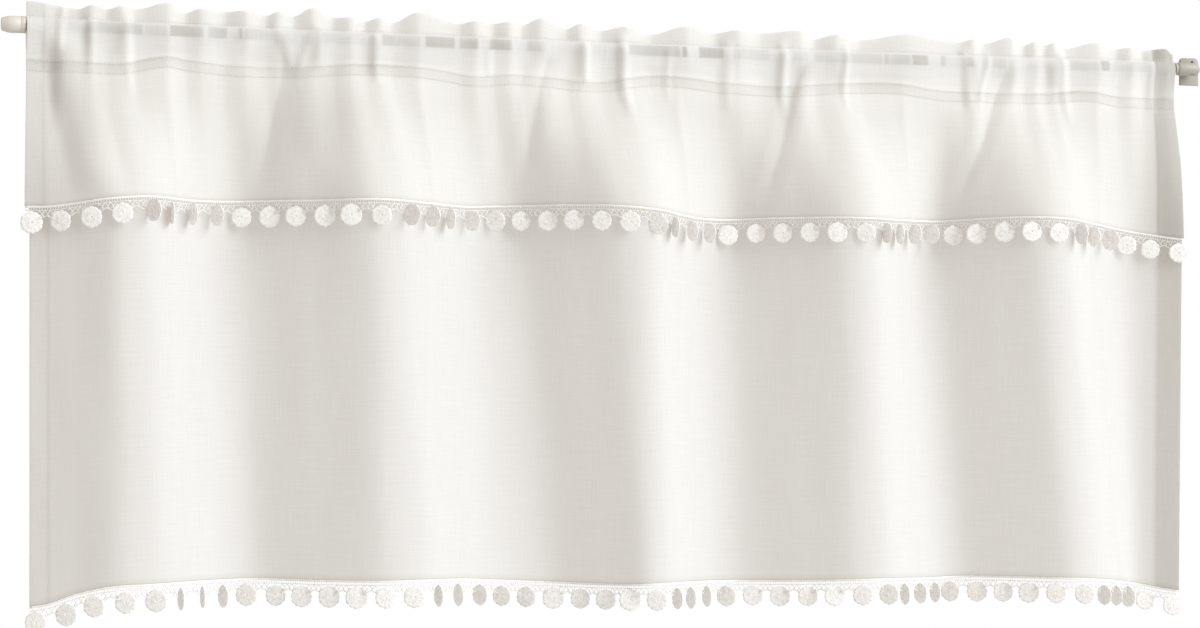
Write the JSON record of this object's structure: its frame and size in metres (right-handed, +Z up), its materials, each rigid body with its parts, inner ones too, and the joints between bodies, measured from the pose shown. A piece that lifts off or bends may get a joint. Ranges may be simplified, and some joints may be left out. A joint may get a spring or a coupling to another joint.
{
  "type": "window valance on curtain rod",
  "caption": "Off-white sheer window valance with a flounce over a longer panel, gathered on a thin wall-mounted curtain rod, its hems edged with lace medallions",
  "frame": {"origin": "the middle of the bracket's flat back face, which is screwed to the wall", "axes": "X runs along the rod, towards the bracket on the right; Y runs from the room towards the wall; Z is up"},
  "size_m": [1.281, 0.0845, 0.613],
  "materials": {
    "voile": "sheer off-white plain weave voile with a linen look, soft and matt",
    "lace": "off-white cotton lace with matt thread",
    "rod_enamel": "smooth grey-beige enamel on a thin steel tube",
    "fittings": "moulded grey-beige plastic with a fine satin surface"
  },
  "bodies": {
    "root": {"panel": "voile", "flounce": "voile", "panel_trim": "lace", "flounce_trim": "lace", "rod": "rod_enamel", "end_cap": "fittings", "bracket": "fittings"}
  },
  "joints": []
}
